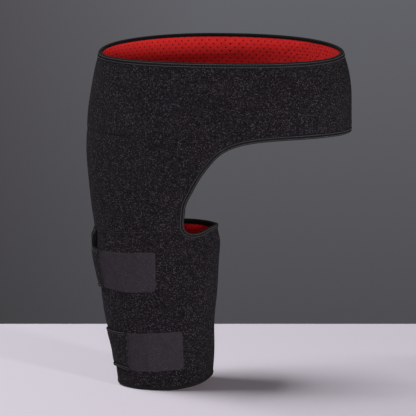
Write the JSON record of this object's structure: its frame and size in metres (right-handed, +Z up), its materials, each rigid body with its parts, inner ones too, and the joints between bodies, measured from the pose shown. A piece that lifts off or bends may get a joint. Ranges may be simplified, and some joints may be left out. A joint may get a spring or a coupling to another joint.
{
  "type": "thigh compression wrap",
  "caption": "Soft leg wrap with a waist band, a hip panel and a thigh cuff, red perforated lining, bound edges and hook-tape closures.",
  "frame": {"origin": "middle of the waist loop, half way down the waist band, where the wearer's waist carries the wrap", "axes": "+X across the hips from the wrapped right thigh towards the bare leg, +Y from the belly to the back, +Z up the body"},
  "size_m": [0.3411, 0.2159, 0.4438],
  "materials": {
    "outer_loop": "brushed loop pile, near black with fine grey flecks",
    "red_lining": "matt perforated knit, bright red",
    "edge_tape": "matt folded tape, black, stitched",
    "hook_tape": "smooth woven back of hook tape, dark grey"
  },
  "bodies": {
    "root": {"waist_band": "outer_loop", "waist_lining": "red_lining", "hip_panel": "outer_loop", "hip_lining": "red_lining", "thigh_cuff": "outer_loop", "thigh_lining": "red_lining", "waist_binding": "edge_tape", "leg_binding": "edge_tape", "knee_binding": "edge_tape", "closing_flap": "outer_loop", "flap_top_binding": "edge_tape", "flap_middle_binding": "edge_tape", "flap_bottom_binding": "edge_tape", "upper_hook_tab": "hook_tape", "lower_hook_tab": "hook_tape", "waist_hook_tab": "hook_tape"}
  },
  "joints": []
}
